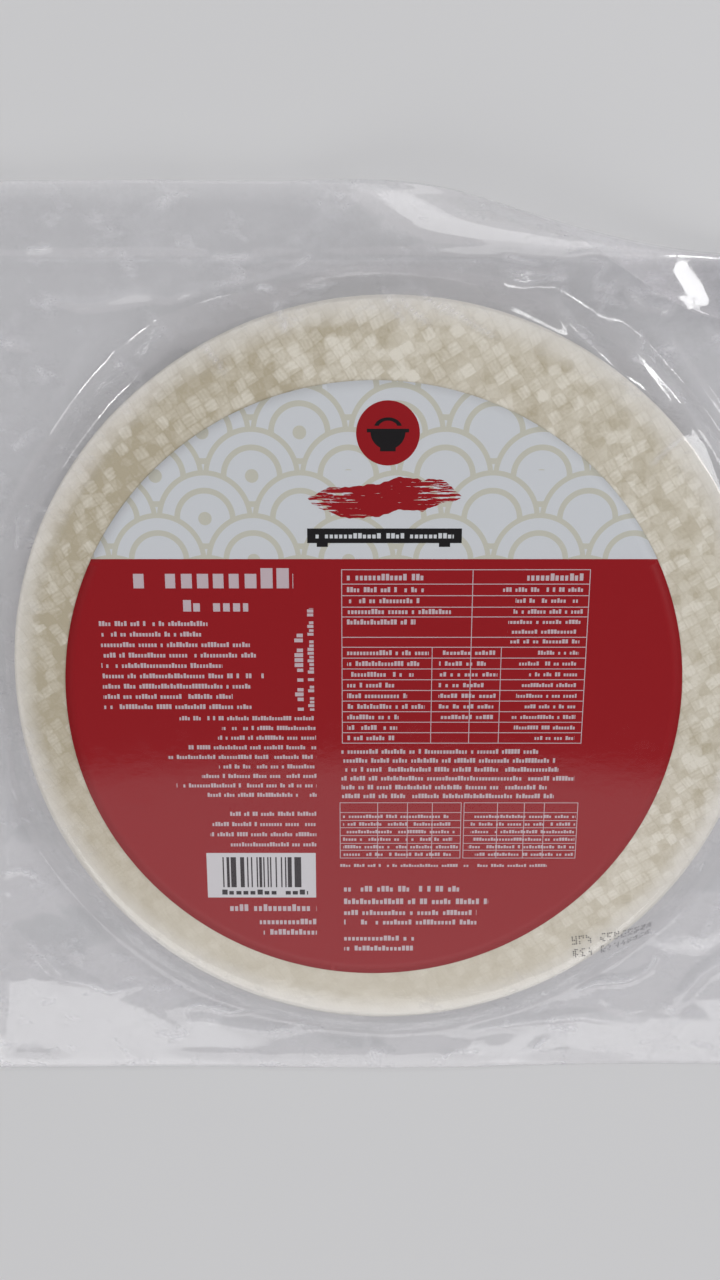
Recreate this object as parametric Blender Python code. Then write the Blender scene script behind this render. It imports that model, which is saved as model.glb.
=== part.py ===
"""A clear sealed bag around a stack of round rice paper wrappers, lying on its back, label side up.

Metres, +Z up, +Y towards the bag's sealed top. The origin is the middle of the stack, on the
surface that the pack lies on. The bag and all that it holds are one closed solid."""

import math

import bmesh
import bpy
import numpy as np

# The stack of wrappers
SHEET_DIAMETER = 0.220
SHEET_COUNT = 26
SHEET_PITCH = 0.00037  # one sheet, with the air that its woven relief holds
LABEL_THICKNESS = 0.00025
STACK_RADIUS = SHEET_DIAMETER / 2
STACK_TOP = SHEET_COUNT * SHEET_PITCH + LABEL_THICKNESS

# The bag, measured flat
BAG_WIDTH = 0.258
BOTTOM_MARGIN = 0.025  # from the stack down to the bottom seal
SEAL_GAP = 0.010  # from the stack up to the top seal
HEADER = 0.020  # from the top seal up to the free edge
HALF_WIDTH = BAG_WIDTH / 2
BOTTOM_Y = -STACK_RADIUS - BOTTOM_MARGIN
SEAL_Y = STACK_RADIUS + SEAL_GAP

# How the film lies round the stack
MARGIN_THICKNESS = 0.0008  # front and back film where they meet
TENT_LENGTH = 0.014  # how far out from the rim the front film comes down
TENT_SAG = 1.35  # over 1, so the stretched film is hollow
MARGIN_LIFT = 0.0028  # the most that the loose margin stands off the surface
LIFT_RUN = 0.030  # from the rim out to where that is reached
WAVES = ((3, 0.3, 0.8), (7, 0.2, -0.5))  # waves round the bag: how many, how strong, and turned by how much
SEAL_LIFT = 0.0030  # the seal is drawn up by the stack close to it
SEAL_PULL_FROM = 0.9  # where that begins, as a share of the stack's radius
SEAL_PULL_WIDTH = 0.6  # how wide it is, as a share of the bag's half width
SIDE_WAIST = 0.0010  # how far the sides are drawn in beside the stack
WAIST_LENGTH = 0.6  # how long that is, as a share of the stack's radius

# The header above the seal: flat at the left, curled forwards, and folded over at the right
CURL_LEFT = math.radians(8)
CURL_RIGHT = math.radians(180)
CURL_FROM_X = -0.030
CURL_TO_X = 0.095
STRAIGHT_LEFT = 0.10  # share of the header that is straight past the curl
STRAIGHT_RIGHT = 0.80
STRAIGHT_FROM_X = 0.035
STRAIGHT_TO_X = 0.100

# The mesh
SIDE_STEPS = 36  # along each side of the bag
RIM_RINGS = (0.35, 0.70, 0.92, 1.0)  # rings on the stack, as shares of its radius
MARGIN_RINGS = (0.17, 0.34, 0.52, 0.70, 0.85, 1.0)  # rings from the rim to the edge
CURL_ROWS = 9  # rows up the header, in its curl and then in its straight end
STRAIGHT_ROWS = 3
SHARP_EDGE = math.radians(40)


def ease(share):
    """0 up to 0, 1 from 1 on, and an S between."""
    share = np.clip(share, 0.0, 1.0)
    return share * share * (3 - 2 * share)


def margin_lift(x, y):
    """Height of the back film off the surface: none under the stack, then a slow wave round the bag."""
    out = np.hypot(x, y) - STACK_RADIUS
    turn = np.arctan2(y, x)
    wave = 0.5 + sum(strength * np.sin(count * turn + start) for count, strength, start in WAVES)
    lift = MARGIN_LIFT * wave * ease(out / LIFT_RUN)
    pull_from = SEAL_PULL_FROM * STACK_RADIUS
    near_seal = ease((y - pull_from) / (SEAL_Y - pull_from))
    pull = np.exp(-((x / (SEAL_PULL_WIDTH * HALF_WIDTH)) ** 2))
    return lift + SEAL_LIFT * near_seal * pull * ease(out / SEAL_GAP)


def front_rise(x, y):
    """Height of the front film over the back film: the stack, a hollow slope, then the two films together."""
    out = np.hypot(x, y) - STACK_RADIUS
    slope = np.clip(1 - out / TENT_LENGTH, 0.0, 1.0) ** TENT_SAG
    return MARGIN_THICKNESS + (STACK_TOP - MARGIN_THICKNESS) * slope


def header_curl(x):
    """How far the header turns over at x, and the length of its curl."""
    turned = CURL_LEFT + (CURL_RIGHT - CURL_LEFT) * ease((x - CURL_FROM_X) / (CURL_TO_X - CURL_FROM_X))
    late = ease((x - STRAIGHT_FROM_X) / (STRAIGHT_TO_X - STRAIGHT_FROM_X))
    return turned, HEADER * (1 - STRAIGHT_LEFT - (STRAIGHT_RIGHT - STRAIGHT_LEFT) * late)


def header_point(x, height, along):
    """Middle of the header's film, `along` above the seal line: an arc, then straight on."""
    curl, arc = header_curl(x)
    radius = arc / curl
    turned = np.minimum(along, arc) / radius
    rest = np.maximum(along - arc, 0.0)
    y = SEAL_Y + radius * np.sin(turned) + rest * np.cos(turned)
    z = height + radius * (1 - np.cos(turned)) + rest * np.sin(turned)
    return y, z, turned


def edge_points():
    """The bag's outline below the seal, once round from its top left corner, with the waist at the sides."""
    steps = np.arange(SIDE_STEPS) / SIDE_STEPS
    across = HALF_WIDTH * (2 * steps - 1)
    down = SEAL_Y + (BOTTOM_Y - SEAL_Y) * steps
    up = SEAL_Y + BOTTOM_Y - down
    side = np.full(SIDE_STEPS, HALF_WIDTH)
    x = np.concatenate([across, side, -across, -side])
    y = np.concatenate([np.full(SIDE_STEPS, SEAL_Y), down, np.full(SIDE_STEPS, BOTTOM_Y), up])
    waist = SIDE_WAIST * np.exp(-((y / (WAIST_LENGTH * STACK_RADIUS)) ** 2))
    return x * (1 - waist / HALF_WIDTH), y


def body_rings():
    """Rings of flat bag coordinates: circles on the stack that turn into the bag's outline."""
    edge_x, edge_y = edge_points()
    reach = np.hypot(edge_x, edge_y)
    rim_x = STACK_RADIUS * edge_x / reach
    rim_y = STACK_RADIUS * edge_y / reach
    rings = [(share * rim_x, share * rim_y) for share in RIM_RINGS]
    rings += [(rim_x + s * (edge_x - rim_x), rim_y + s * (edge_y - rim_y)) for s in MARGIN_RINGS]
    return rings


def body_sheet(side):
    """Points of the front (side 1) or the back (side 0) film below the seal, ring by ring."""
    points = []
    for x, y in body_rings():
        z = margin_lift(x, y) + side * front_rise(x, y)
        points.append(np.stack([x, y, z], axis=1))
    return points


def header_sheet(side):
    """Points of the header's front or back film, row by row, from the first row above the seal."""
    edge_x, _ = edge_points()
    x = edge_x[: SIDE_STEPS + 1]
    height = margin_lift(x, np.full_like(x, SEAL_Y)) + MARGIN_THICKNESS / 2
    _, arc = header_curl(x)
    heights = [arc * row / CURL_ROWS for row in range(1, CURL_ROWS + 1)]
    heights += [arc + (HEADER - arc) * row / STRAIGHT_ROWS for row in range(1, STRAIGHT_ROWS + 1)]
    points = []
    for along in heights:
        y, z, turned = header_point(x, height, along)
        off = (side - 0.5) * MARGIN_THICKNESS
        points.append(np.stack([x, y - off * np.sin(turned), z + off * np.cos(turned)], axis=1))
    return points


def sheet_faces(mesh, side):
    """One film as a fan, rings and header rows. Returns its free edge, in order."""
    middle = mesh.verts.new((0.0, 0.0, side * STACK_TOP))
    rings = [[mesh.verts.new(point) for point in ring] for ring in body_sheet(side)]
    rows = [[mesh.verts.new(point) for point in row] for row in header_sheet(side)]
    count = len(rings[0])
    for i in range(count):
        j = (i + 1) % count
        mesh.faces.new((middle, rings[0][i], rings[0][j]))
        for inner, outer in zip(rings, rings[1:]):
            mesh.faces.new((inner[i], outer[i], outer[j], inner[j]))
    seal = rings[-1][: SIDE_STEPS + 1]
    for lower, upper in zip([seal] + rows, rows):
        for i in range(SIDE_STEPS):
            mesh.faces.new((lower[i], upper[i], upper[i + 1], lower[i + 1]))
    right = [row[-1] for row in reversed(rows)]
    left = [row[0] for row in rows[:-1]]
    return rows[-1] + right[1:] + rings[-1][SIDE_STEPS:] + [rings[-1][0]] + left


def sealed_bag(material):
    """Front and back film with a strip all round their free edge, as one closed solid."""
    mesh = bmesh.new()
    back, front = (sheet_faces(mesh, side) for side in (0, 1))
    for i, j in zip(range(len(back)), list(range(1, len(back))) + [0]):
        mesh.faces.new((back[i], back[j], front[j], front[i]))
    bmesh.ops.recalc_face_normals(mesh, faces=mesh.faces)
    data = bpy.data.meshes.new("sealed_bag")
    mesh.to_mesh(data)
    mesh.free()
    data.materials.append(material)
    data.shade_smooth()
    data.set_sharp_from_angle(angle=SHARP_EDGE)
    return bpy.data.objects.new("sealed_bag", data)


def clear_film():
    """Glossy film, in the cream of the wrappers behind it."""
    material = bpy.data.materials.new("clear_film")
    material.use_nodes = True
    shader = material.node_tree.nodes["Principled BSDF"]
    shader.inputs["Base Color"].default_value = (0.62, 0.58, 0.50, 1.0)
    shader.inputs["Roughness"].default_value = 0.12
    shader.inputs["Metallic"].default_value = 0.0
    return material


def main():
    for old in list(bpy.data.objects):
        bpy.data.objects.remove(old, do_unlink=True)
    bpy.context.scene.unit_settings.system = "METRIC"
    bpy.context.scene.unit_settings.scale_length = 1.0
    pack = bpy.data.collections.new("rice_paper_pack")
    bpy.context.scene.collection.children.link(pack)
    pack.objects.link(sealed_bag(clear_film()))


main()
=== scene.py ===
"""Looks of a clear sealed bag of round rice paper wrappers, lying on its back with the label up."""

import math

import bmesh
import bpy
import numpy as np
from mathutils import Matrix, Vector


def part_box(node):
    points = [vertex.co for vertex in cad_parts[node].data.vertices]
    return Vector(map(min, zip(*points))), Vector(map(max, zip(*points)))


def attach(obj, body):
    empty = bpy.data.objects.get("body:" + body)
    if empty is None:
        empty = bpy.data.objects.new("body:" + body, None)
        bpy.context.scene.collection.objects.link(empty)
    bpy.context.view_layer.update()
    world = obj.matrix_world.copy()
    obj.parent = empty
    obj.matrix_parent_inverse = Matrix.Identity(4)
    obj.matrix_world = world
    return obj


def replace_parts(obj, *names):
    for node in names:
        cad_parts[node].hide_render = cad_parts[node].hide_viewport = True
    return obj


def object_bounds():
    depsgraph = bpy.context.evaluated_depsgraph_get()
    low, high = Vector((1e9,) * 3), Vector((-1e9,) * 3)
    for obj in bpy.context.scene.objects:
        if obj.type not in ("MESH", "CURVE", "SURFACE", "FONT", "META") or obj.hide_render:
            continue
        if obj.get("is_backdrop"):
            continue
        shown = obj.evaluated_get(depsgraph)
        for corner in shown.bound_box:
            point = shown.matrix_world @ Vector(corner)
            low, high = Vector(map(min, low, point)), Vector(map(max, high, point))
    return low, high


bl_info = {
    "name": "Rice Paper Pack",
    "version": (1, 0, 0),
    "blender": (4, 5, 0),
    "location": "3D View > Sidebar > Rice Paper",
    "description": "A stack of round rice paper wrappers and a printed label in a clear sealed bag",
    "category": "Add Mesh",
}

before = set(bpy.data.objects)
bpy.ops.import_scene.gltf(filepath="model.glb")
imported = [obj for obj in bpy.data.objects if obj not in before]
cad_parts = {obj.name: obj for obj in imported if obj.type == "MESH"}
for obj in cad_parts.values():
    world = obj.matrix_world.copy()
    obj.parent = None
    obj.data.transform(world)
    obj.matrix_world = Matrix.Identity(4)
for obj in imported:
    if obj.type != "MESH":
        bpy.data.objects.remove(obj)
CAD_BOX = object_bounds()
BAG = "sealed_bag"
BAG_LOW, BAG_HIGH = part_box(BAG)
MM = 0.001

# ---------------------------------------------------------------- sizes and colours to change


def length(name, description, default, **more):
    """A length in metres."""
    return bpy.props.FloatProperty(
        name=name, description=description, default=default, unit="LENGTH", subtype="DISTANCE",
        precision=5, **more
    )


def colour(name, description, default):
    """A linear colour."""
    return bpy.props.FloatVectorProperty(
        name=name, description=description, default=default, subtype="COLOR", size=3, min=0.0, max=1.0
    )


class StackSettings(bpy.types.PropertyGroup):
    """The stack of wrappers."""

    radius: length("Wrapper radius", "Radius of each round wrapper", 0.110)
    sheet: length("Sheet thickness", "Thickness of one dry sheet", 0.00020)
    pitch: length("Pitch", "Height that each sheet takes up in the stack", 0.00037)
    count: bpy.props.IntProperty(name="Sheets", description="Number of wrappers", default=26, min=3)
    cell: length("Weave cell", "Side of one cell of the mat that the sheets dried on", 0.0034)
    relief: length("Weave relief", "Height of the woven relief", 0.00012)
    cream: colour("Wrapper", "Colour of the stack of wrappers", (0.80, 0.755, 0.655))
    # the tone also runs to this colour in the painted shade towards the upper left
    shade: colour("Wrapper shade", "Colour in the hollows of the weave", (0.50, 0.44, 0.32))
    rim: colour("Wrapper rim", "Colour of the sheets' pale rims", (0.84, 0.82, 0.79))


class LabelSettings(bpy.types.PropertyGroup):
    """The printed paper label on top of the stack."""

    radius: length("Label radius", "Radius of the round label", 0.0914)
    thickness: length("Label thickness", "Thickness of the label's paper", 0.00025)
    shift_x: length("Label shift X", "How far the label lies right of the stack's middle", -0.0037)
    shift_y: length("Label shift Y", "How far the label lies above the stack's middle", -0.0033)
    paper: colour("Paper", "Unprinted paper", (0.655, 0.675, 0.70))
    waves: colour("Waves", "Beige of the wave pattern", (0.575, 0.565, 0.485))
    red: colour("Red", "Red of the print", (0.315, 0.008, 0.0125))
    ink: colour("Black", "Black of the print", (0.012, 0.011, 0.012))


class BagSettings(bpy.types.PropertyGroup):
    """The clear film bag."""

    seal_gap: length("Seal gap", "From the stack up to the top seal", 0.010)
    header: length("Header", "From the top seal up to the free edge", 0.020)
    tent: length("Tent", "How far out from the stack the front film comes down", 0.014)
    lift: length("Margin lift", "The most that the loose margin stands off the surface", 0.0028)
    film_gap: length("Film gap", "Air between front and back film in the margin", 0.0006)
    tint: colour("Film tint", "What one layer of film lets through", (0.985, 0.985, 0.988))
    haze: colour("Film haze", "Colour of the film's haze", (0.80, 0.79, 0.82))
    seed: bpy.props.IntProperty(name="Crease seed", description="Start of the random creases", default=7)


class StageSettings(bpy.types.PropertyGroup):
    """Floor, light and camera."""

    floor: colour("Floor", "Colour of the floor", (0.66, 0.66, 0.665))
    lens: bpy.props.FloatProperty(name="Lens", description="Focal length in mm", default=27.56)
    tilt: bpy.props.FloatProperty(
        name="Tilt", description="Camera's lean from straight down", default=math.radians(13.5),
        subtype="ANGLE",
    )
    distance: length("Distance", "Camera to the label's plane, along the view", 0.287)
    aim_x: length("Aim X", "Where the camera looks, right of the stack's middle", -0.0078)
    aim_y: length("Aim Y", "Where the camera looks, above the stack's middle", 0.0145)


# ---------------------------------------------------------------- shapes in numpy

# How the back film stands off the surface
LIFT_RUN = 0.030  # from the rim out to where the margin's lift is reached
WAVES = ((3, 0.3, 0.8), (7, 0.2, -0.5))  # waves round the bag: how many, how strong, and turned by how much
SEAL_LIFT = 0.0030  # the seal is drawn up by the stack close to it
SEAL_PULL_FROM = 0.9  # where that begins, as a share of the stack's radius
SEAL_PULL_WIDTH = 0.6  # how wide it is, as a share of the bag's half width
SIDE_WAIST = 0.0010  # how far the sides are drawn in beside the stack
WAIST_LENGTH = 0.6  # how long that is, as a share of the stack's radius

# The header above the seal: flat at the left, curled forwards, and folded over at the right
CURL_LEFT = math.radians(8)
CURL_RIGHT = math.radians(180)
CURL_FROM_X, CURL_TO_X = -0.030, 0.095
STRAIGHT_LEFT, STRAIGHT_RIGHT = 0.10, 0.80  # share of the header that is straight past the curl
STRAIGHT_FROM_X, STRAIGHT_TO_X = 0.035, 0.100

# Thicknesses in the film
WELDED = 0.08 * MM  # from back to front where the two are one
OVER_LABEL = 0.42 * MM  # from the label's flat top up to the front film
OVER_FLOOR = 0.05 * MM  # from the surface up to the back film
RIM_START = 0.003  # how far inside the stack's rim the front film begins to come down


def ease(share):
    """0 up to 0, 1 from 1 on, and the S of 3s^2 - 2s^3 between."""
    share = np.clip(share, 0.0, 1.0)
    return share * share * (3 - 2 * share)


def stack_top(stack, label):
    """Top of the label: every sheet's pitch, and the label."""
    return stack.count * stack.pitch + label.thickness


def margin_lift(x, y, stack, bag):
    """Height of the back film: none under the stack, then two sine waves of the turn round it, eased in
    over 30 mm, plus a hump at the seal that fades with the square of x."""
    out = np.hypot(x, y) - stack.radius
    turn = np.arctan2(y, x)
    wave = 0.5 + sum(strength * np.sin(count * turn + start) for count, strength, start in WAVES)
    lift = bag.lift * wave * ease(out / LIFT_RUN)
    pull_from = SEAL_PULL_FROM * stack.radius
    near_seal = ease((y - pull_from) / (stack.radius + bag.seal_gap - pull_from))
    pull = np.exp(-((x / (SEAL_PULL_WIDTH * BAG_HIGH[0])) ** 2))
    return lift + SEAL_LIFT * near_seal * pull * ease(out / bag.seal_gap)


def ridge(x, y, path, height, width):
    """A fold along a path of (x, y) in mm: height times a bell of the distance to the nearest of the path's
    straight runs, dying away at both ends. Returns metres."""
    path = np.array(path, float) * MM
    runs = np.hypot(*np.diff(path, axis=0).T)
    starts = np.concatenate([[0.0], np.cumsum(runs)[:-1]])
    nearest = np.full(x.shape, np.inf)
    at = np.zeros(x.shape)
    for (x0, y0), (x1, y1), run, start in zip(path, path[1:], runs, starts):
        share = np.clip(((x - x0) * (x1 - x0) + (y - y0) * (y1 - y0)) / run**2, 0.0, 1.0)
        gap = np.hypot(x - x0 - share * (x1 - x0), y - y0 - share * (y1 - y0))
        closer = gap < nearest
        nearest = np.where(closer, gap, nearest)
        at = np.where(closer, start + share * run, at)
    whole = runs.sum()
    ends = ease(at / (0.25 * whole)) * ease((whole - at) / (0.25 * whole))
    return height * MM * (0.15 + 0.85 * ends) * np.exp(-((nearest / (width * MM)) ** 2))


def facets(x, y, rng, size, count):
    """Crumpled film: the mean of triangle waves across the sheet in random directions, bent by a slow sine,
    so that nearly flat facets meet in soft creases. Runs from -1 to 1."""
    total = np.zeros(x.shape)
    for _ in range(count):
        turn, phase, bend = rng.uniform(0, math.tau, 3)
        wave = size * rng.uniform(0.7, 1.5)
        along = x * math.cos(turn) + y * math.sin(turn)
        across = y * math.cos(turn) - x * math.sin(turn)
        step = along / wave + phase + 0.25 * np.sin(across / (1.7 * wave) + bend)
        total += 1 - 4 * np.abs(step - np.floor(step) - 0.5)
    return total / count


# Folds that the film holds, as (path in mm from the stack's middle, height and width in mm)
FOLDS = (
    # the stretched fold that leaves the rim at the upper left, up to the seal and down to the side
    (((-119, 20), (-111, 38), (-98, 55), (-87, 70), (-77, 82), (-66, 92), (-61, 103), (-59, 112)), 3.3, 5.2),
    (((-112, 58), (-98, 76), (-88, 92), (-80, 106)), 1.0, 3.4),
    # the band under the seal at the upper left
    (((-64, 109), (-56, 112), (-44, 113.5), (-30, 116.5), (-16, 119)), 1.2, 2.4),
    # glints where the seal is crimped
    (((-100, 122.8), (-95, 123.0), (-91, 124.2)), 0.35, 1.0),
    (((-50, 121.3), (-43, 120.9), (-36, 121.4)), 0.30, 1.0),
    (((-27, 117.0), (-23.5, 119.6), (-20, 121.6)), 0.40, 1.0),
    (((-25, 112.8), (-20.5, 112.6), (-15, 112.9)), 0.25, 1.1),
    (((-37, 112.4), (-34, 112.6), (-31, 112.5)), 0.20, 1.0),
    (((-78, 96), (-70, 91), (-66, 86)), 0.8, 1.8),
    (((-68, 107), (-62, 102), (-58, 97)), 0.6, 1.6),
    (((-100, 112), (-84, 109), (-70, 112), (-58, 111)), 0.9, 2.2),
    (((-122, 104), (-108, 100), (-96, 96)), 0.9, 2.0),
    # the ridges that run round the rim at the upper right
    (((44, 113), (50, 104), (58, 95), (66, 87)), 0.9, 1.8),
    (((58, 110), (68, 99), (80, 86), (92, 71), (101, 55), (106, 40)), 1.5, 2.2),
    (((68, 112), (82, 94), (97, 76), (108, 58), (116, 38)), 1.3, 2.2),
    (((82, 112), (97, 94), (110, 78)), 0.9, 2.4),
    # the puckered corner where the header begins to curl
    (((28, 119.5), (35, 116.8), (44, 116.0), (52, 118.5)), 0.75, 1.3),
    (((30, 115.6), (38, 114.2), (48, 115.6)), 0.6, 1.2),
    (((51, 118.4), (56, 120.2), (59.5, 118.8), (57, 115.2), (58.4, 108.5)), 0.8, 1.2),
    (((57, 114.4), (61.5, 113.0), (63.0, 109.6)), 0.6, 1.1),
    (
        ((64, 117.6), (67.4, 112.4), (73, 108.6), (78.6, 107.6), (79.6, 110.4), (73, 112.8), (67, 116.6)),
        0.8, 1.3,
    ),
    (((69, 114.0), (74, 115.4), (78, 114.0)), 0.5, 1.1),
    # short folds that the film makes over the stack's upper rim
    (((-2, 112), (1, 107.5), (5, 102)), 0.22, 0.8),
    (((2, 111), (6, 106.5), (13, 101)), 0.25, 0.8),
    (((12, 110), (18, 105.8), (25, 101.4), (32, 97.6)), 0.28, 0.9),
    (((7, 113), (12, 108), (20, 104)), 0.2, 0.7),
    (((-32, 110), (-29, 104.5), (-27, 99)), 0.18, 0.9),
    (((-52, 99), (-47, 93), (-44, 88)), 0.18, 0.9),
    (((84, 74), (78, 69), (73, 64)), 0.16, 0.9),
    # the loose lower margin
    (((-118, -84), (-106, -98), (-96, -105)), 1.2, 2.2),
    (((-112, -102), (-100, -101), (-90, -106), (-80, -104)), 0.8, 1.3),
    (((-70, -113), (-61, -111), (-50, -114), (-40, -112.5)), 0.7, 1.1),
    (((-58, -118), (-40, -121), (-20, -119)), 0.8, 1.8),
    (((60, -108), (70, -103.5), (79, -103), (88, -99)), 0.9, 1.3),
    (((96, -112), (104, -100), (114, -92)), 1.2, 2.2),
    (((20, -122), (44, -118), (66, -116), (86, -120)), 0.9, 1.8),
    # long soft folds down the sides
    (((-121, -70), (-118, -30), (-119, 8)), 1.1, 2.4),
    (((-124, 66), (-117, 84), (-104, 104)), 0.9, 2.6),
    (((119, -66), (117, -22), (119, 22)), 1.1, 2.4),
)


def swell(x, y, stack, bag):
    """The slow unevenness that front and back film share: crumpled facets that fade out at the rim and the
    edges and under the folded header."""
    rng = np.random.default_rng(bag.seed)
    out = np.hypot(x, y) - stack.radius
    edge = np.minimum(BAG_HIGH[0] - np.abs(x), y - BAG_LOW[1])
    loose = ease(out / 0.012) * ease(edge / 0.008)
    return loose * clear_of_flap(x, y, stack, bag) * 0.65 * MM * facets(x, y, rng, 0.042, 4)


def clear_of_flap(x, y, stack, bag):
    """1, falling to a fifth under the folded end of the header."""
    below = y < stack.radius + bag.seal_gap
    return 1 - 0.8 * ease((x - 0.076) / 0.012) * ease((y - 0.098) / 0.008) * below


def creases(x, y, stack, bag):
    """What the front film has besides: the folds above, fine facets, puckers along the seal and short random
    creases in the margin. Returns the height, and how much each point is whitened by a sharp fold."""
    rng = np.random.default_rng(bag.seed + 1)
    out = np.hypot(x, y) - stack.radius
    seal_y = stack.radius + bag.seal_gap
    edge = np.minimum(BAG_HIGH[0] - np.abs(x), y - BAG_LOW[1])
    rise = ease(out / 0.012) * ease(edge / 0.008) * 0.09 * MM * facets(x, y, rng, 0.012, 5)
    rise += ease((out + 0.014) / 0.014) * 0.05 * MM * facets(x, y, rng, 0.020, 5)
    rise += np.exp(-((y - seal_y) / 0.003) ** 2) * 0.07 * MM * facets(x, 0.2 * y, rng, 0.0065, 4)
    uneven = 0.6 + 0.4 * np.sin(x / 0.006) * np.sin(x / 0.0023)
    worn = 0.55 * uneven * np.exp(-(((y - seal_y) / (0.6 * MM)) ** 2))
    folds = list(FOLDS)
    for _ in range(30):
        turn = rng.uniform(0, math.tau)
        far = rng.uniform(stack.radius + 0.006, 1.25 * stack.radius)
        middle = np.array([far * math.cos(turn), far * math.sin(turn)]) / MM
        lean = turn + rng.normal(math.pi / 2, 0.7)
        reach = rng.uniform(2.5, 8.0) * np.array([math.cos(lean), math.sin(lean)])
        bow = rng.normal(0, 1.2) * np.array([-math.sin(lean), math.cos(lean)])
        height, width = rng.uniform(0.10, 0.34), rng.uniform(0.8, 1.4)
        folds.append(((middle - reach, middle + bow, middle + reach), height, width))
    for path, height, width in folds:
        fold = ridge(x, y, path, height, width)
        rise += fold
        worn = np.maximum(worn, (fold / (height * MM)) ** 2 * min(1.0, 0.9 / width) * (height > 0.15))
    tidy = clear_of_flap(x, y, stack, bag) * ease(edge / 0.004)
    return rise * tidy, np.clip(worn * ease(edge / 0.002), 0.0, 1.0)


def header_curl(x, bag):
    """How far the header turns over at x, and the length of its curl. Both ease from their value at the
    left to their value at the right."""
    turned = CURL_LEFT + (CURL_RIGHT - CURL_LEFT) * ease((x - CURL_FROM_X) / (CURL_TO_X - CURL_FROM_X))
    late = ease((x - STRAIGHT_FROM_X) / (STRAIGHT_TO_X - STRAIGHT_FROM_X))
    return turned, bag.header * (1 - STRAIGHT_LEFT - (STRAIGHT_RIGHT - STRAIGHT_LEFT) * late)


def film_points(x, y, side, fine, stack, label, bag):
    """The front (side 1) or back (side 0) film over flat bag coordinates. Below the seal it stands over the
    back film by the stack's height, and comes down outside the rim as (1 - s^2.2)^2; above the seal it
    follows an arc that turns further to the right, then runs straight on, set off along the normal."""
    seal_y = stack.radius + bag.seal_gap
    body_y = np.minimum(y, seal_y)
    out = np.hypot(x, body_y) - stack.radius
    back = margin_lift(x, body_y, stack, bag)
    fall = np.clip((out + RIM_START) / (bag.tent + RIM_START), 0.0, 1.0)
    edge = np.minimum(BAG_HIGH[0] - np.abs(x), y - BAG_LOW[1])
    free = BAG_LOW[1] + flat_length(stack, bag) - y
    shut = ease(edge / 0.006) * ease(np.abs(y - seal_y) / 0.004) * ease(free / 0.003)
    gap = WELDED + bag.film_gap * shut
    top = stack_top(stack, label) + OVER_LABEL
    rise = gap + (top - gap) * (1 - fall**2.2) ** 2
    low = OVER_FLOOR + back + np.maximum(swell(x, y, stack, bag), -0.6 * back)
    z = low + side * (rise + np.maximum(fine, -0.4 * gap))

    along = np.maximum(y - seal_y, 0.0)
    curl, arc = header_curl(x, bag)
    turned = np.minimum(along, arc) * curl / arc
    rest = np.maximum(along - arc, 0.0)
    off = (side - 0.5) * gap + side * 0.6 * fine * ease(along / 0.004)
    head_y = seal_y + arc / curl * np.sin(turned) + rest * np.cos(turned) - off * np.sin(turned)
    head_z = z + arc / curl * (1 - np.cos(turned)) + rest * np.sin(turned) + off * np.cos(turned)
    above = y > seal_y
    waist = 1 - SIDE_WAIST * np.exp(-((y / (WAIST_LENGTH * stack.radius)) ** 2)) / BAG_HIGH[0]
    return np.stack([x * waist, np.where(above, head_y, y), np.where(above, head_z, z)], axis=-1)


def flat_length(stack, bag):
    """Length of the bag laid flat, from its lower edge to the header's free edge."""
    return stack.radius + bag.seal_gap + bag.header - BAG_LOW[1]


def mesh_piece(name, points, faces, material, smooth=True):
    """A mesh object at the origin from an array of points and lists of faces."""
    data = bpy.data.meshes.new(name)
    data.from_pydata(points.reshape(-1, 3).tolist(), [], faces)
    data.validate()
    if smooth:
        data.shade_smooth()
    data.materials.append(material)
    piece = bpy.data.objects.new(name, data)
    bpy.context.scene.collection.objects.link(piece)
    return piece


def grid_faces(rows, columns, first=0, wrap=False, flip=False):
    """Quads of a grid of points stored row by row from index first, each one facing +Z where rows run along
    +Y and columns along +X. wrap joins the last column to the first."""
    index = first + np.arange(rows * columns).reshape(rows, columns)
    if wrap:
        index = np.concatenate([index, index[:, :1]], axis=1)
    quads = np.stack([index[:-1, :-1], index[:-1, 1:], index[1:, 1:], index[1:, :-1]], axis=-1).reshape(-1, 4)
    return (quads[:, ::-1] if flip else quads).tolist()


def disc(radii, height, turns, first=0):
    """A closed thin disc: rings of points, at (r cos t, r sin t) for each radius r and turn t, on top and
    below, with a middle point to each side. height(x, y, side) moves them to their place. Returns points
    and faces."""
    turn = np.arange(turns) / turns * math.tau
    sides = []
    for side in (1, 0):
        x = np.outer(radii, np.cos(turn))
        y = np.outer(radii, np.sin(turn))
        sides.append(height(x, y, side))
    ring_points = turns * len(radii)
    middle = [height(np.zeros(1), np.zeros(1), side)[0] for side in (1, 0)]
    points = np.concatenate([sides[0].reshape(-1, 3), sides[1].reshape(-1, 3), middle])
    faces = grid_faces(len(radii), turns, first, wrap=True, flip=True)
    faces += grid_faces(len(radii), turns, first + ring_points, wrap=True)
    step = np.arange(turns)
    after = (step + 1) % turns
    top, low = first + 2 * ring_points, first + 2 * ring_points + 1
    below = first + ring_points
    faces += np.stack([np.full(turns, top), first + step, first + after], axis=1).tolist()
    faces += np.stack([np.full(turns, low), below + after, below + step], axis=1).tolist()
    rim = first + (len(radii) - 1) * turns
    rim_below = rim + ring_points
    faces += np.stack([rim + step, rim_below + step, rim_below + after, rim + after], axis=1).tolist()
    return points, faces


# ---------------------------------------------------------------- shader maths


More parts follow.
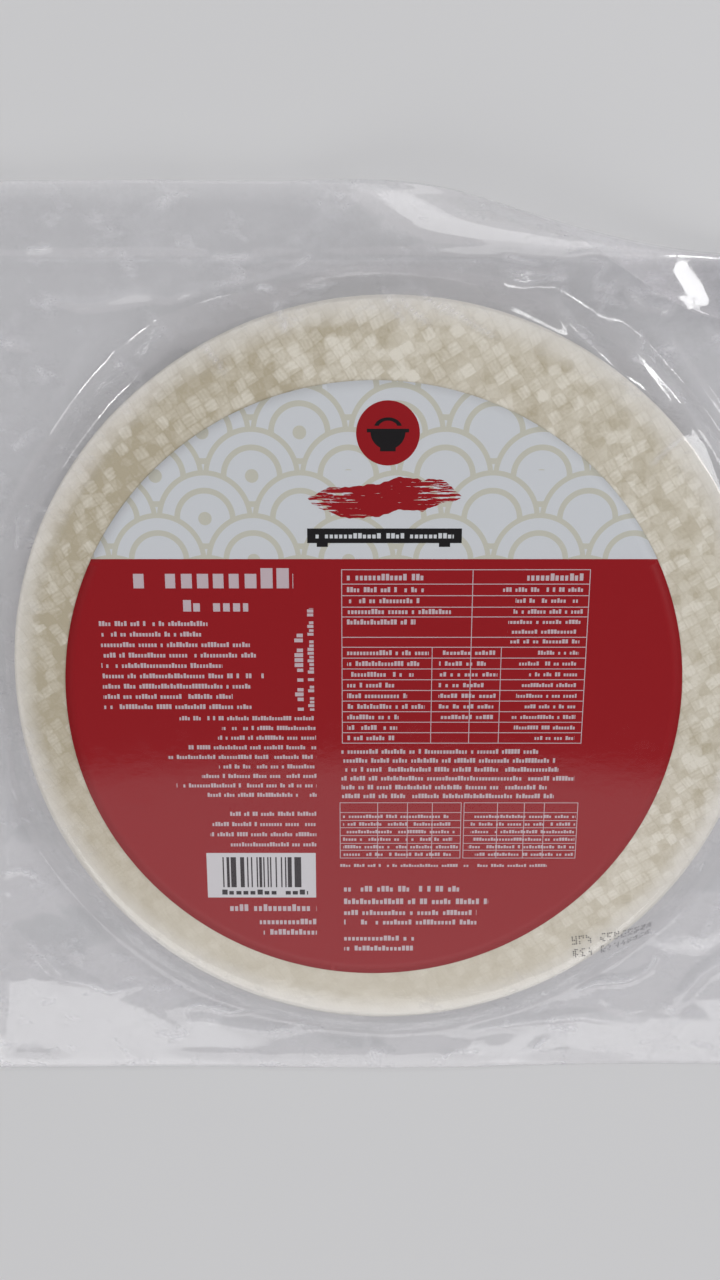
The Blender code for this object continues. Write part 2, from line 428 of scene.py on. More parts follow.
class Value:
    """A number socket: sums written with it add Math nodes to its tree."""

    def __init__(self, finish, socket):
        self.finish = finish
        self.socket = socket

    def maths(self, operation, *others):
        """A Math node on this value and the others."""
        sockets = {0: self}
        sockets.update({i + 1: other for i, other in enumerate(others)})
        return self.finish.add("ShaderNodeMath", {"operation": operation}, sockets)

    def ramp(self, low, high):
        """0 at low, 1 at high, straight between and held outside."""
        return self.finish.add(
            "ShaderNodeMapRange", {"clamp": True}, {"Value": self, "From Min": low, "From Max": high}
        )


def maths_method(operation, turned_round=False):
    """A method of Value that adds this Math node. turned_round puts the other value first."""

    def method(value, *others):
        if turned_round:
            return (value * -1.0).maths(operation, *others)
        return value.maths(operation, *others)

    return method


# turned round, a subtraction is the other value plus this one times -1
Value.__rsub__ = maths_method("ADD", turned_round=True)
for method_name, node_operation in {
    "__add__": "ADD", "__radd__": "ADD", "__sub__": "SUBTRACT", "__mul__": "MULTIPLY", "__rmul__": "MULTIPLY",
    "__truediv__": "DIVIDE", "__pow__": "POWER", "__gt__": "GREATER_THAN", "__lt__": "LESS_THAN",
    "floor": "FLOOR", "part": "FRACT", "size": "ABSOLUTE", "sine": "SINE", "root": "SQRT",
    "least": "MINIMUM", "most": "MAXIMUM",
}.items():
    setattr(Value, method_name, maths_method(node_operation))


class Finish:
    """A node material, or a world, being built."""

    def __init__(self, name, owner=None):
        self.owner = owner or bpy.data.materials.new(name)
        self.owner.use_nodes = True
        self.tree = self.owner.node_tree
        self.tree.nodes.clear()

    def add(self, kind, settings=None, sockets=None, output=0):
        """A node of this type, with its settings set first and then its sockets. Returns one output."""
        node = self.tree.nodes.new(kind)
        for key, setting in (settings or {}).items():
            setattr(node, key, setting)
        for key, value in (sockets or {}).items():
            if isinstance(value, Value):
                self.tree.links.new(value.socket, node.inputs[key])
            else:
                node.inputs[key].default_value = value
        return Value(self, node.outputs[output])

    def place(self):
        """X, Y and Z of Object coordinates, in millimetres."""
        coordinates = self.add("ShaderNodeTexCoord", output="Object")
        split = self.add("ShaderNodeSeparateXYZ", sockets={0: coordinates}).socket.node
        return [Value(self, split.outputs[i]) * 1000.0 for i in range(3)]

    def joined(self, x, y, z=0.0):
        """A vector from three values."""
        return self.add("ShaderNodeCombineXYZ", sockets={0: x, 1: y, 2: z})

    def chance(self, x, y, z=0.0):
        """A random number for each whole (x, y, z)."""
        place = self.joined(x, y, z)
        return self.add("ShaderNodeTexWhiteNoise", {"noise_dimensions": "3D"}, {"Vector": place})

    def noise(self, vector, scale, detail=2.0, roughness=0.5):
        """Smooth noise about 0.5."""
        return self.add(
            "ShaderNodeTexNoise", {"noise_dimensions": "3D"},
            {"Vector": vector, "Scale": scale, "Detail": detail, "Roughness": roughness},
        )

    def mix(self, share, first, second):
        """A colour between two: first at share 0, second at 1."""
        return self.add(
            "ShaderNodeMix", {"data_type": "RGBA"}, {0: share, 6: opaque(first), 7: opaque(second)}, output=2
        )

    def bump(self, height, distance, strength=1.0):
        """A normal from a height in units of distance."""
        sockets = {"Height": height, "Distance": distance, "Strength": strength}
        return self.add("ShaderNodeBump", sockets=sockets)

    def finished(self, shader, output="ShaderNodeOutputMaterial"):
        """The material or world, showing this shader."""
        output = self.tree.nodes.new(output)
        self.tree.links.new(shader.socket, output.inputs["Surface"])
        return self.owner


def opaque(value):
    """A colour with its alpha, or a socket as it is."""
    return value if isinstance(value, Value) else (*value, 1.0)


# ---------------------------------------------------------------- materials


WEAVE_LEAN = 33.0  # degrees that the mat's weave is turned by in the top sheet


def weave(finish, x, y, cell, lean, seed):
    """A basket weave of cells in mm turned by lean: ribs along one way in every other cell, and along the
    other way in the rest. Returns its height from 0 to 1 and a random tone for each cell."""
    turn = math.radians(lean)
    along = (x * math.cos(turn) + y * math.sin(turn)) / cell + 100.0
    across = (y * math.cos(turn) - x * math.sin(turn)) / cell + 100.0
    u, v = along.part(), across.part()
    odd = ((along.floor() + across.floor()) * 0.5).part() * 2.0
    ribs_u = (u * (3 * math.tau)).sine() * 0.5 + 0.5
    ribs_v = (v * (3 * math.tau)).sine() * 0.5 + 0.5
    ribs = odd * ribs_u + (1.0 - odd) * ribs_v
    pillow = ((u * math.pi).sine() * (v * math.pi).sine()).root()
    tone = finish.chance(along.floor(), across.floor(), float(seed))
    return ribs * 0.3 + (pillow * 1.7).least(1.0) * 0.7, tone


def wrapper_finish(stack):
    """Dry rice paper: cream, dimmer where the weaves of several sheets fall together, plainer towards the
    lower right, with painted shade towards the upper left for light that falls more from the right, and a pale
    rim."""
    finish = Finish("rice_paper")
    x, y, z = finish.place()
    cell = stack.cell / MM
    place = finish.joined(x, y, z)
    drift = finish.noise(place, 0.05, 2.0) * 5.0
    top, top_tone = weave(finish, x + drift, y, cell, WEAVE_LEAN, 1)
    under, under_tone = weave(finish, x, y + drift, cell * 1.04, 8.0, 2)
    deep, deep_tone = weave(finish, x + drift, y + 2.0, cell * 0.97, 61.0, 3)
    blotch = finish.noise(place, 0.11, 3.0, 0.6)
    fine = finish.noise(place, 1.4, 2.0)
    radius = (x * x + y * y).root()
    rim = radius.ramp(103.0, 111.0)
    layers = ((top, top_tone, 0.6), (under, under_tone, 0.5), (deep, deep_tone, 0.35))
    cells = sum((cell_tone - 0.5) * ribs * weight for ribs, cell_tone, weight in layers)
    plain = (y * -1.0 + x * -0.35).ramp(20.0, 95.0)
    cells = (cells + (0.5 - top) * 0.30 + (blotch - 0.5) * 0.9) * (1.0 - plain * 0.75)
    # painted shade: the tone runs towards the shade colour to the left and upper left, standing in for light
    # that falls more from the right
    painted_upper_left_shade = (x * -1.0 + y * 0.35).ramp(30.0, 95.0)
    tone = cells + (fine - 0.5) * 0.25 + 0.46 + painted_upper_left_shade * 0.46
    tone = (tone * (1.0 - rim * 0.6)).most(0.0).least(1.0)
    body = finish.mix(tone, tuple(stack.cream), tuple(stack.shade))
    pale = finish.mix(rim * 0.6, body, tuple(stack.rim))
    height = (top * 0.10 + under * 0.035) * (1.0 - plain * 0.7) + fine * 0.02
    shader = finish.add(
        "ShaderNodeBsdfPrincipled",
        sockets={
            "Base Color": pale, "Roughness": fine * 0.15 + 0.42, "Normal": finish.bump(height, MM, 0.8),
            "Specular IOR Level": 0.2,
        },
    )
    return finish.finished(shader)


def inside(x, y, left, low, right, high):
    """1 inside a rectangle in mm."""
    return (x > left) * (x < right) * (y > low) * (y < high)


# The round waves of the label's upper field, in mm
WAVE_LINE = 1.45
WAVE_INNER = (7.1, 8.7)
WAVE_DOT = 1.9


class Print:
    """Simple marks in the label's own millimetres, from the stack's middle."""

    def __init__(self, finish, x, y):
        self.finish, self.x, self.y = finish, x, y
        self.seed = 10.0

    def lines(self, left, high, right, low, rows, letter, tall, ragged, end="right"):
        """Rows of small blocks in place of writing: a random number for each block leaves gaps between words
        and sets its height, and another for each row ends it short, at the end that is named."""
        self.seed += 1.0
        x, y = self.x, self.y
        pitch = (high - low) / rows
        row = (high - y) / pitch
        line = row.floor()
        within = row.part() * pitch
        place = (x - left) / letter + line * 3.37
        slot = place.floor()
        chance = self.finish.chance(slot, line, self.seed)
        tilt = self.finish.chance(slot, line, self.seed + 40.0)
        low_edge = 0.5 * pitch + 0.5 * tall
        body = (within < low_edge) * (within > (low_edge - tall * (0.72 + 0.28 * (tilt > 0.62))))
        mark = body * (chance > 0.17) * (place.part() < (0.62 + tilt * 0.2))
        short = self.finish.chance(line, 1.0, self.seed) * ((right - left) * ragged)
        if end == "right":
            mark = mark * (x > left) * (x < (right - short))
        else:
            mark = mark * (x < right) * (x > (left + short))
        return mark * (y < high) * (y > low)

    def grid(self, left, high, columns, rows, line):
        """A ruled table: thin lines at the running sums of the column widths and the row heights."""
        right, low = left + sum(columns), high - sum(rows)
        half = line / 2
        upright = [(self.x - (left + sum(columns[:i]))).size() < half for i in range(len(columns) + 1)]
        level = [(self.y - (high - sum(rows[:i]))).size() < half for i in range(len(rows) + 1)]
        ground = inside(self.x, self.y, left - half, low - half, right + half, high + half)
        return joined_marks(*upright, *level) * ground

    def waves(self, pitch, step, at_x, at_y):
        """Overlapping round scales in staggered rows, the lower row in front: the ring, the inner ring and,
        in some, the dot, by the distance to the centre of the front scale that covers the point."""
        radius = pitch / 2
        lowest = ((self.y - at_y - radius) / step).maths("CEIL")
        covered = None
        for k in range(3):
            row = lowest + float(k)
            middle_y = row * step + at_y
            column = (self.x - at_x) / pitch - row * 0.5
            dx = (column - (column + 0.5).floor()) * pitch
            dy = self.y - middle_y
            away = (dx * dx + dy * dy).root()
            dotted = self.finish.chance((column + 0.5).floor(), row, 5.0) > 0.4
            ring = (away > radius - WAVE_LINE) * (away < radius)
            inner = (away > WAVE_INNER[0]) * (away < WAVE_INNER[1])
            drawn = ring.most(inner).most((away < WAVE_DOT) * dotted)
            hit = away < radius
            if covered is None:
                marks, covered = drawn * hit, hit
            else:
                marks, covered = marks.most(drawn * hit * (1.0 - covered)), covered.most(hit)
        return marks


# The label is printed in four fields, cut at these lines in mm, with a finish for each
CUT_UPPER = 37.3
CUT_LOWER = -36.2
CUT_LEFT = -17.0
CUTS = (((0, CUT_UPPER, 0), (0, 1, 0)), ((0, CUT_LOWER, 0), (0, 1, 0)), ((CUT_LEFT, 0, 0), (1, 0, 0)))
SMALL_PRINT = (0.57, 0.47, 0.50)
BARCODE_PAPER = (0.66, 0.64, 0.66)
BARCODE_INK = (0.03, 0.025, 0.03)


def paper_finish(finish, x, y, printed):
    """The finished label paper with this print."""
    fibre = finish.noise(finish.joined(x, y, 0.0), 2.6, 3.0)
    shader = finish.add(
        "ShaderNodeBsdfPrincipled",
        sockets={
            "Base Color": printed, "Roughness": fibre * 0.12 + 0.40,
            "Normal": finish.bump(fibre, 0.02 * MM, 0.5), "Specular IOR Level": 0.15,
        },
    )
    return finish.finished(shader)


def upper_print(label):
    """The white field of pale round waves, with a plain roundel with a bowl, a brush stroke and a black bar,
    and the red field below it."""
    finish = Finish("label_upper")
    x, y, _ = finish.place()
    marks = Print(finish, x, y)
    white, red, black = tuple(label.paper), tuple(label.red), tuple(label.ink)
    printed = finish.mix(marks.waves(27.2, 12.0, -38.3, 62.0), white, tuple(label.waves))

    around = (x * x + (y - 73.8) ** 2.0).root()
    printed = finish.mix(around < 8.9, printed, red)
    bowl = ((x * x + (y - 74.2) ** 2.0).root() < 4.9) * (y < 74.2) * (y > 69.9)
    rim = inside(x, y, -5.9, 74.0, 5.9, 75.0)
    foot = inside(x, y, -2.2, 68.8, 2.2, 70.0)
    grains = (x * x * 0.55 + (y - 75.2) ** 2.0).root()
    heap = (grains < 2.9) * (grains > 2.0) * (y > 75.8)
    printed = finish.mix(bowl.most(rim).most(foot).most(heap), printed, black)

    streak = finish.noise(finish.joined(x * 0.12, y * 1.6, 3.0), 1.0, 3.0, 0.7)
    wander = finish.noise(finish.joined(x * 0.16, 0.0, 9.0), 1.0, 2.0)
    middle = (y - 55.9) - (wander - 0.5) * 5.0 - (x * 0.14).sine() * 1.3
    end = ((x + 0.8) / 22.0).size()
    stroke = (middle.size() < (1.0 - end ** 4.0) * 4.6) * (streak > end * 0.22 + 0.30)
    printed = finish.mix(stroke * inside(x, y, -23.0, 47.9, 21.6, 64.0), printed, red)

    bar = inside(x, y, -22.9, 43.0, 21.3, 47.2)
    bar = bar.most(inside(x, y, -20.2, 41.9, -17.0, 43.1)).most(inside(x, y, 14.8, 41.9, 18.0, 43.1))
    printed = finish.mix(bar, printed, black)
    printed = finish.mix(marks.lines(-20.5, 46.4, 19.0, 43.8, 1, 1.35, 1.5, 0.0), printed, white)
    return paper_finish(finish, x, y, finish.mix(y < 38.4, printed, red))


def red_print(label, name, draw):
    """Part of the red field, with the small print that draw gives for it."""
    finish = Finish(name)
    x, y, _ = finish.place()
    marks = Print(finish, x, y)
    printed = finish.mix(draw(marks), tuple(label.red), SMALL_PRINT)
    if name == "label_left":
        printed = finish.mix(inside(x, y, -55.3, -68.3, -21.5, -53.2), printed, BARCODE_PAPER)
        stripes = finish.chance((x / 0.42).floor(), 3.0, 7.0) > 0.52
        stripes = stripes * inside(x, y, -51.2, -64.8, -24.2, -54.6)
        digits = marks.lines(-53.0, -65.0, -24.0, -67.9, 1, 2.2, 1.7, 0.0)
        printed = finish.mix(stripes.most(digits), printed, BARCODE_INK)
    return paper_finish(finish, x, y, printed)


def joined_marks(*parts):
    """Whichever of the marks is there."""
    total = parts[0]
    for part in parts[1:]:
        total = total.most(part)
    return total


def left_column(marks):
    """Titles, lists and notes down the left of the red field, two of them turned on their side."""
    turned = Print(marks.finish, marks.y, -1.0 * marks.x)
    turned.seed = 80.0
    return joined_marks(
        marks.lines(-73.3, 36.2, -27.1, 29.4, 1, 4.6, 5.9, 0.0),
        marks.lines(-59.2, 27.2, -40.3, 22.2, 1, 2.9, 3.4, 0.0),
        marks.lines(-84.0, 21.0, -35.0, -7.5, 9, 0.92, 1.45, 0.42),
        marks.lines(-68.5, -8.0, -21.0, -35.5, 9, 0.84, 1.3, 0.45, end="left"),
        marks.lines(-57.0, -38.5, -21.2, -52.0, 4, 0.86, 1.35, 0.35, end="left"),
        marks.lines(-48.5, -69.6, -21.4, -74.0, 1, 1.5, 2.3, 0.0),
        marks.lines(-39.5, -74.8, -21.4, -82.0, 2, 1.3, 1.9, 0.3, end="left"),
        turned.lines(-7.2, 27.4, 17.6, 24.2, 1, 1.5, 2.5, 0.0),
        turned.lines(-7.2, 23.7, 24.0, 20.9, 1, 1.15, 1.8, 0.0),
    )


def big_table(marks):
    """The large ruled table, and the note under it."""
    return joined_marks(
        marks.grid(-13.1, 35.3, (37.9, 33.8), (4.2, 3.4, 3.4, 2.9, 6.1, 3.0) + (3.3,) * 9, 0.24),
        marks.grid(13.4, 12.3, (20.3,), (29.7,), 0.22),
        marks.lines(-11.6, 35.0, 17.5, 31.3, 1, 1.25, 1.9, 0.25),
        marks.lines(36.0, 35.0, 57.0, 31.3, 1, 1.4, 2.1, 0.3, end="left"),
        marks.lines(-11.6, 31.1, 22.0, 21.4, 3, 0.98, 1.5, 0.4),
        marks.lines(30.0, 31.1, 57.0, 21.4, 3, 0.9, 1.3, 0.3, end="left"),
        marks.lines(-11.6, 21.4, 10.0, 18.4, 1, 0.98, 1.5, 0.1),
        marks.lines(26.5, 21.4, 56.5, 12.6, 3, 0.95, 1.2, 0.5, end="left"),
        marks.lines(-11.6, 12.3, 12.8, -17.4, 9, 0.95, 1.45, 0.5),
        marks.lines(15.5, 12.3, 32.8, -10.8, 7, 1.05, 1.3, 0.25),
        marks.lines(36.0, 12.3, 56.5, -17.4, 9, 0.85, 1.2, 0.45, end="left"),
        marks.lines(-13.4, -18.6, 58.0, -35.8, 6, 0.93, 1.45, 0.18),
    )


def small_tables(marks):
    """Two small ruled tables side by side, and the lines at the foot."""
    rows = (3.2, 2.6, 2.4, 2.6, 2.6, 2.3, 2.6)
    return joined_marks(
        marks.grid(-13.9, -36.6, (11.5, 9.1, 7.6, 8.8), rows, 0.2),
        marks.grid(24.0, -36.6, (10.2, 8.2, 6.1, 10.2), rows, 0.2),
        marks.lines(-13.0, -39.8, 22.6, -54.9, 6, 0.88, 1.05, 0.1),
        marks.lines(24.6, -39.8, 58.2, -54.9, 6, 0.88, 1.0, 0.1, end="left"),
        marks.lines(-13.9, -56.2, 56.0, -58.6, 1, 0.85, 0.95, 0.1),
        marks.lines(-12.8, -63.4, 26.0, -67.2, 1, 1.3, 1.9, 0.2),
        marks.lines(-12.8, -67.6, 36.0, -71.6, 1, 1.25, 1.9, 0.1),
        marks.lines(-12.8, -71.8, 36.0, -78.4, 2, 1.15, 1.7, 0.25),
        marks.lines(-12.8, -80.6, 9.5, -87.6, 2, 1.25, 1.7, 0.1),
    )


# Share of the light that a film mirrors seen straight on, and what is added to it at grazing
MIRROR_FACING = 0.044
MIRROR_GRAZING = 0.9


def film_finish(bag):
    """Clear gloss film: what is behind it shows through a light tint, a mirror layer that grows towards
    grazing as Schlick has it, and a thin haze that gathers along creases and scuffs."""
    finish = Finish("clear_film")
    x, y, z = finish.place()
    place = finish.joined(x, y, z)
    crease = finish.add("ShaderNodeAttribute", {"attribute_name": "crease"}, output="Fac")
    leaning = finish.joined(x * 0.6 + y * 0.25, y * 0.9, z)
    scuffs = finish.noise(leaning, 0.16, 5.0, 0.72).ramp(0.56, 0.74)
    drawn_out = finish.joined(x * 0.35 - y * 0.5, y * 0.35 + x * 0.2, z)
    wisps = finish.noise(drawn_out, 0.12, 4.0, 0.65).ramp(0.52, 0.80)
    fine = finish.noise(place, 0.35, 3.0, 0.55)
    normal = finish.bump(fine, 0.05 * MM, 0.35)
    clear = finish.add("ShaderNodeBsdfTransparent", sockets={"Color": opaque(tuple(bag.tint))})
    gloss = finish.add(
        "ShaderNodeBsdfAnisotropic",
        sockets={"Color": (1.0, 1.0, 1.0, 1.0), "Roughness": scuffs * 0.10 + 0.05, "Normal": normal},
    )
    facing = finish.add("ShaderNodeLayerWeight", sockets={"Blend": 0.5, "Normal": normal}, output="Facing")
    mirror = facing**5.0 * MIRROR_GRAZING + MIRROR_FACING
    pane = finish.add("ShaderNodeMixShader", sockets={0: mirror, 1: clear, 2: gloss})
    veil = finish.add("ShaderNodeBsdfDiffuse", sockets={"Color": opaque(tuple(bag.haze)), "Normal": normal})
    loose = (x * x + y * y).root().ramp(100.0, 113.0)
    share = (crease * 0.30 + (scuffs * 0.30 + wisps * 0.16 + 0.10) * loose + 0.001).least(0.5)
    return finish.finished(finish.add("ShaderNodeMixShader", sockets={0: share, 1: pane, 2: veil}))


RED_FIELDS = (("label_left", left_column), ("label_table", big_table), ("label_foot", small_tables))

# ---------------------------------------------------------------- operators


def keep(piece):
    """A piece of the pack: it rides on the one body."""
    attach(piece, "root")
    return piece


class PACK_OT_wrappers(bpy.types.Operator):
    """Make the stack of wrappers: a detailed top and bottom sheet, and the sheets between them"""

    bl_idname = "pack.wrappers"
    bl_label = "Wrappers"

    def execute(self, context):
        stack = context.scene.rice_stack
        finish = wrapper_finish(stack)
        rng = np.random.default_rng(3)
        steps = [self.sheet(stack, rng, level) for level in range(stack.count)]
        fine = np.concatenate([np.linspace(0.02, 0.80, 30), np.linspace(0.812, 1.0, 26)])
        coarse = np.concatenate([[0.30, 0.70, 0.88], np.linspace(0.93, 1.0, 5)])
        for name, level in (("rice_sheet_bottom", 0), ("rice_sheet_top", stack.count - 1)):
            points, faces = disc(fine * stack.radius, steps[level], 360)
            keep(mesh_piece(name, points, faces, finish))
        all_points, all_faces, first = [], [], 0
        for height in steps[1:-1]:
            points, faces = disc(coarse * stack.radius, height, 200, first)
            all_points.append(points)
            all_faces += faces
            first += len(points)
        inner = mesh_piece("rice_sheets_inner", np.concatenate(all_points), all_faces, finish)
        keep(inner)
        return {"FINISHED"}

    @staticmethod
    def sheet(stack, rng, level):
        """The height function of one sheet: flat, laid a little off the middle and further down the lower it
        lies, cockled at its rim by sines of the turn that its neighbours share, with the basket weave
        pressed in as the size of sin(pi u) sin(pi v)."""
        slid = (1 - level / (stack.count - 1)) ** 0.7
        shift = rng.normal(0, 0.0005, 2) + np.array([0.0004, -0.0024]) * slid
        size = 1 + rng.normal(0, 0.0022)
        phase = rng.uniform(0, math.tau, 3)
        base = level * stack.pitch + 0.12 * MM

        def height(x, y, side):
            away = np.hypot(x, y) / stack.radius
            turn = np.arctan2(y, x)
            rim = ease((away - 0.80) / 0.20)
            cockle = 0.06 * np.sin(5 * turn + 0.15 * phase[0]) + 0.05 * np.sin(11 * turn + 0.2 * phase[1])
            cockle += 0.05 * np.sin(23 * turn + phase[2])
            lean = math.radians(WEAVE_LEAN)
            u = (x * math.cos(lean) + y * math.sin(lean)) / stack.cell
            v = (y * math.cos(lean) - x * math.sin(lean)) / stack.cell
            weave_height = np.abs(np.sin(math.pi * u) * np.sin(math.pi * v)) * stack.relief * 0.8
            reach = size * (1 + 0.0012 * np.sin(3 * turn + phase[0]) * rim)
            z = base + side * stack.sheet + cockle * MM * rim + weave_height * (0.4 + 0.6 * side)
            return np.stack([x * reach + shift[0], y * reach + shift[1], z], axis=-1)

        return height


class PACK_OT_label(bpy.types.Operator):
    """Make the round printed label that lies on the stack"""

    bl_idname = "pack.label"
    bl_label = "Label"

    def execute(self, context):
        stack, label = context.scene.rice_stack, context.scene.rice_label
        base = stack.count * stack.pitch + 0.02 * MM

        def height(x, y, side):
            """Flat paper with a slow swell, lifting 0.08 mm at its edge."""
            away = np.hypot(x, y) / label.radius
            swell = 0.05 * np.sin(x / 0.021 + 1.0) * np.sin(y / 0.017) + 0.08 * away**6
            z = base + side * label.thickness * 0.7 + swell * MM
            return np.stack([x + label.shift_x, y + label.shift_y, z], axis=-1)

        points, faces = disc(np.linspace(0.04, 1.0, 26) * label.radius, height, 256)
        piece = keep(mesh_piece("label_disc", points, faces, upper_print(label)))
        for name, draw in RED_FIELDS:
            piece.data.materials.append(red_print(label, name, draw))
        mesh = bmesh.new()
        mesh.from_mesh(piece.data)
        for place, normal in CUTS:
            bmesh.ops.bisect_plane(
                mesh, geom=mesh.verts[:] + mesh.edges[:] + mesh.faces[:],
                plane_co=[MM * part for part in place], plane_no=normal,
            )
        for face in mesh.faces:
            x, y, z = face.calc_center_median() / MM
            if y < CUT_UPPER:
                face.material_index = 1 if x < CUT_LEFT else 2 if y > CUT_LOWER else 3
        mesh.to_mesh(piece.data)
        mesh.free()
        return {"FINISHED"}


class PACK_OT_film(bpy.types.Operator):
    """Make the clear bag: front and back film, joined all round"""

    bl_idname = "pack.film"
    bl_label = "Film"

    def execute(self, context):
        scene = context.scene
        stack, label, bag = scene.rice_stack, scene.rice_label, scene.rice_bag
        columns, rows = 129, 151
        points, worn = [], []
        for side, finer in ((1, 2), (0, 1)):
            across = self.spread(finer * (columns - 1) + 1)
            up = 0.5 + 0.5 * self.spread(finer * (rows - 1) + 1)
            x, y = np.meshgrid(BAG_HIGH[0] * across, BAG_LOW[1] + flat_length(stack, bag) * up)
            fine, white = creases(x, y, stack, bag)
            points.append(film_points(x, y, side, fine, stack, label, bag).reshape(-1, 3))
            worn.append(white.ravel() * side)
        front_rows, front_columns = 2 * rows - 1, 2 * columns - 1
        count = front_rows * front_columns
        faces = grid_faces(front_rows, front_columns) + grid_faces(rows, columns, count, flip=True)
        fine_edge = self.outline(front_rows, front_columns)
        edge = count + self.outline(rows, columns)
        start, middle, end = fine_edge[::2], fine_edge[1::2], np.roll(fine_edge, -2)[::2]
        faces += np.stack([start, edge, np.roll(edge, -1), end, middle], axis=1).tolist()
        piece = mesh_piece("bag_film", np.concatenate(points), faces, film_finish(bag))
        data = piece.data.attributes.new("crease", "FLOAT", "POINT")
        data.data.foreach_set("value", np.concatenate(worn))
        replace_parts(keep(piece), BAG)
        self.code(stack, label, bag)
        return {"FINISHED"}

    @staticmethod
    def code(stack, label, bag):
        """Two rows of inkjet dots on the film at the lower right, in groups of three by five as a date code
        has them but in no readable order, each dot a closed lens that follows the film."""
        rng = np.random.default_rng(12)
        row, group, across, up = np.meshgrid(range(2), range(12), range(3), range(5), indexing="ij")
        printed = (rng.random(row.shape) < 0.58) & (group != 3)
        row, group, across, up = (part[printed] for part in (row, group, across, up))
        along = (2.25 * group + 0.6 * across) * MM
        rise = (0.62 * up - 4.5 * row) * MM
        lean = math.radians(7)
        x = 0.0595 + along * math.cos(lean) - rise * math.sin(lean)
        y = -0.0842 + along * math.sin(lean) + rise * math.cos(lean)
        turn = np.arange(6) * math.tau / 6
        reach = np.concatenate([np.ones(6), [0.0, 0.0]]) * 0.23 * MM
        turn = np.concatenate([turn, [0.0, 0.0]])
        dot_x = x[:, None] + reach * np.cos(turn)
        dot_y = y[:, None] + reach * np.sin(turn)
        off = np.array([0.05] * 6 + [0.09, 0.01]) * MM
        fine, _ = creases(dot_x, dot_y, stack, bag)
        points = film_points(dot_x, dot_y, 1, fine, stack, label, bag)
        points[..., 2] += off
        ring = [((i, (i + 1) % 6, 6), ((i + 1) % 6, i, 7)) for i in range(6)]
        lens = np.array(ring).reshape(-1, 3)
        faces = (8 * np.arange(len(x))[:, None, None] + lens).reshape(-1, 3).tolist()
        finish = Finish("code_ink")
        blot = finish.noise(finish.joined(*finish.place()), 1.5, 2.0)
        ink = finish.mix(blot, (0.02, 0.02, 0.022), (0.10, 0.095, 0.10))
        shader = finish.add("ShaderNodeBsdfPrincipled", sockets={"Base Color": ink, "Roughness": 0.5})
        keep(mesh_piece("date_code", points, faces, finish.finished(shader)))

    @staticmethod
    def spread(count):
        """Points from -1 to 1, closer together towards both ends, as 0.55 t + 0.45 (1.5 t - 0.5 t^3)."""
        even = np.linspace(-1, 1, count)
        return 0.55 * even + 0.45 * (1.5 * even - 0.5 * even**3)

    @staticmethod
    def outline(rows, columns):
        """The outer points of a grid, once round anticlockwise from its lower left corner."""
        index = np.arange(rows * columns).reshape(rows, columns)
        return np.concatenate([index[0], index[1:, -1], index[-1, -2::-1], index[-2:0:-1, 0]])


# Lamps, as (name, place, width and height, watts). The two glints are small, for sharp lights on the film
LAMPS = (
    ("key", (-1.00, 0.70, 0.90), (0.60, 0.34), 2.4),
    ("key_glint", (-0.95, 0.75, 0.92), (0.26, 0.14), 2.6),
    ("side", (1.15, 0.30, 0.80), (0.50, 0.30), 3.8),
    ("side_glint", (0.85, 0.80, 0.66), (0.22, 0.12), 1.6),
    ("back", (0.62, 0.86, 0.70), (0.40, 0.14), 1.6),
    ("front", (-0.10, -1.60, 1.25), (2.20, 1.20), 17.0),
)
CEILING = (0.025, 0.025, 0.028)
BACKDROP = (0.81, 0.745, 0.77)
SOFT_LIGHT = (0.31, 0.31, 0.32)
FLOOR_REACH = 6.0


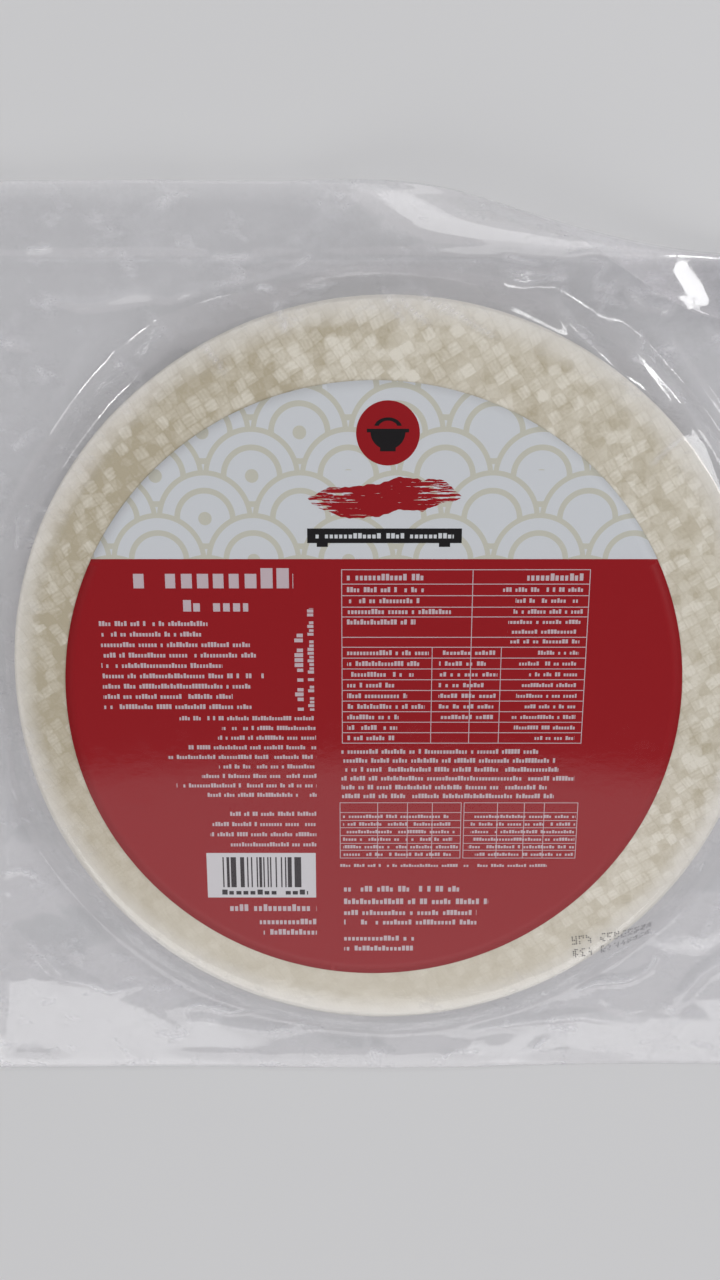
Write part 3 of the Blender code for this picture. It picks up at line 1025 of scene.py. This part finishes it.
class PACK_OT_stage(bpy.types.Operator):
    """Make the floor, the light and the camera"""

    bl_idname = "pack.stage"
    bl_label = "Stage"

    def execute(self, context):
        scene = context.scene
        stage = scene.rice_stage
        stack, label = scene.rice_stack, scene.rice_label
        scene.view_settings.view_transform = "Standard"
        self.floor(stage)
        self.world(scene)
        for lamp in LAMPS:
            self.lamp(*lamp)
        top = stack_top(stack, label)
        back, up = stage.distance * math.sin(stage.tilt), stage.distance * math.cos(stage.tilt)
        camera = bpy.data.objects.new("camera", bpy.data.cameras.new("camera"))
        camera.data.lens = stage.lens
        camera.data.sensor_width = 36.0
        camera.data.clip_start = 0.01
        camera.location = (stage.aim_x, stage.aim_y + back, top + up)
        camera.rotation_euler = (-stage.tilt, 0.0, 0.0)
        scene.collection.objects.link(camera)
        scene.camera = camera
        return {"FINISHED"}

    @staticmethod
    def floor(stage):
        """A wide plain floor."""
        finish = Finish("floor")
        x, y, z = finish.place()
        grain = finish.noise(finish.joined(x, y, z), 0.02, 2.0)
        tone = tuple(stage.floor)
        shade = finish.mix(grain * 0.12, tone, tuple(0.94 * part for part in tone))
        shader = finish.add("ShaderNodeBsdfPrincipled", sockets={"Base Color": shade, "Roughness": 0.65})
        points = np.array([(-1, -1, 0), (1, -1, 0), (1, 1, 0), (-1, 1, 0)]) * FLOOR_REACH
        mesh_piece("floor", points, [[0, 1, 2, 3]], finish.finished(shader), smooth=False)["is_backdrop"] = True

    @staticmethod
    def world(scene):
        """Soft even light, and a pale backdrop that is dark overhead, as a studio's ceiling is."""
        sky = Finish("studio", bpy.data.worlds.new("studio"))
        direction = sky.add("ShaderNodeTexCoord", output="Generated")
        split = sky.add("ShaderNodeSeparateXYZ", sockets={0: direction}).socket.node
        y, z = Value(sky, split.outputs[1]), Value(sky, split.outputs[2])
        pale = (y * -1.0).ramp(0.335, 0.365).most(1.0 - z.ramp(0.62, 0.80))
        backdrop = sky.mix(pale, CEILING, BACKDROP)
        path = sky.add("ShaderNodeLightPath").socket.node
        kinds = ("Is Camera Ray", "Is Glossy Ray", "Is Transmission Ray")
        seen = joined_marks(*(Value(sky, path.outputs[kind]) for kind in kinds))
        light = sky.mix(seen, SOFT_LIGHT, backdrop)
        shader = sky.add("ShaderNodeBackground", sockets={"Color": light, "Strength": 1.0})
        scene.world = sky.finished(shader, "ShaderNodeOutputWorld")

    @staticmethod
    def lamp(name, place, size, watts):
        """A rectangular lamp that faces the pack."""
        data = bpy.data.lights.new(name, "AREA")
        data.shape = "RECTANGLE"
        data.size, data.size_y = size
        data.energy = watts
        lamp = bpy.data.objects.new(name, data)
        x, y, z = place
        lamp.location = place
        lamp.rotation_euler = (math.atan2(math.hypot(x, y), z), 0.0, math.atan2(x, -y))
        bpy.context.scene.collection.objects.link(lamp)


class PACK_PT_panel(bpy.types.Panel):
    """The pack's pieces"""

    bl_label = "Rice Paper Pack"
    bl_idname = "PACK_PT_panel"
    bl_space_type = "VIEW_3D"
    bl_region_type = "UI"
    bl_category = "Rice Paper"

    def draw(self, context):
        for operator in (PACK_OT_wrappers, PACK_OT_label, PACK_OT_film, PACK_OT_stage):
            self.layout.operator(operator.bl_idname)
        for name, group in SETTINGS.items():
            box = self.layout.box()
            for key in group.__annotations__:
                box.prop(getattr(context.scene, name), key)


SETTINGS = {
    "rice_stack": StackSettings, "rice_label": LabelSettings,
    "rice_bag": BagSettings, "rice_stage": StageSettings,
}
CLASSES = (*SETTINGS.values(), PACK_OT_wrappers, PACK_OT_label, PACK_OT_film, PACK_OT_stage, PACK_PT_panel)


def register():
    for each in CLASSES:
        bpy.utils.register_class(each)
    for name, group in SETTINGS.items():
        setattr(bpy.types.Scene, name, bpy.props.PointerProperty(type=group))


def unregister():
    for name in SETTINGS:
        delattr(bpy.types.Scene, name)
    for each in reversed(CLASSES):
        bpy.utils.unregister_class(each)


def main():
    register()
    bpy.ops.pack.wrappers()
    bpy.ops.pack.label()
    bpy.ops.pack.film()
    bpy.ops.pack.stage()
    boxes = {"cad": CAD_BOX, "visual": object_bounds()}
    {name: np.array(box, float).tolist() for name, box in boxes.items()}


if __name__ == "__main__":
    main()
